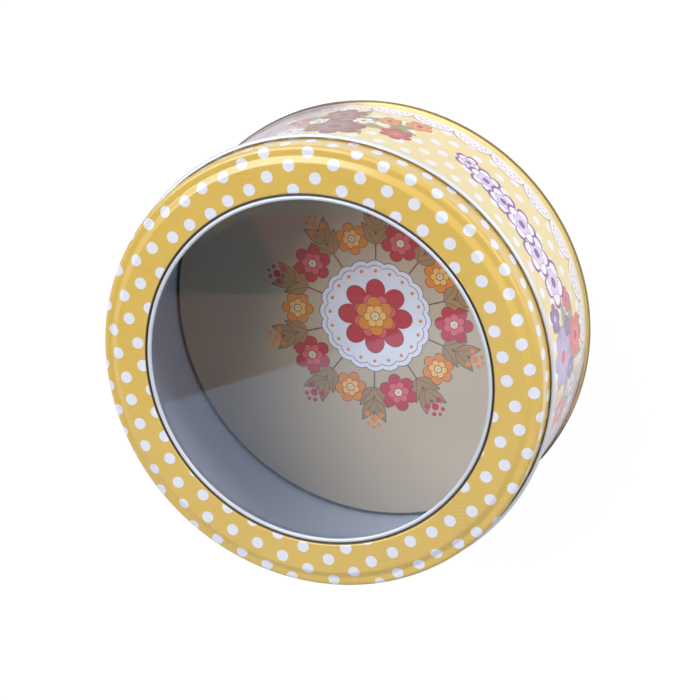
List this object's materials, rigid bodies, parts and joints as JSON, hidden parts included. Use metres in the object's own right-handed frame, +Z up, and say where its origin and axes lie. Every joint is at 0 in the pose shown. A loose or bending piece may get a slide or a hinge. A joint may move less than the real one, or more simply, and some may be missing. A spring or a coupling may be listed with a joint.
{
  "type": "cookie tin",
  "caption": "Round cookie tin with a printed lift-off lid, a clear window held in it by a rolled ring, a curled body wall and a recessed base joined on by a double seam.",
  "frame": {"origin": "on the floor, at the centre of the rim that the tin stands on", "axes": "+Z up along the tin's axis, the way the lid lifts off; +Y is the upper edge of the design on the inside of the base; +X completes the frame"},
  "size_m": [0.1938, 0.1938, 0.082],
  "materials": {
    "lid_print": "gold-yellow print with white dots under gloss varnish",
    "body_print": "pale yellow print with white dots and a lace border under gloss varnish, bare tin inside",
    "base_tin": "beige lacquer with a printed round design inside, gold lacquer outside",
    "ring_tin": "bright bare tinplate",
    "pane_clear": "clear glossy plastic sheet"
  },
  "bodies": {
    "tin": {"body_wall": "body_print", "base_panel": "base_tin"},
    "lid": {"lid_shell": "lid_print", "window_ring": "ring_tin", "window_pane": "pane_clear"}
  },
  "joints": [
    {"name": "lid_lift", "type": "slide", "parent": "tin", "child": "lid", "axis": [0, 0, 1], "range_m": [0, 0.06]}
  ]
}
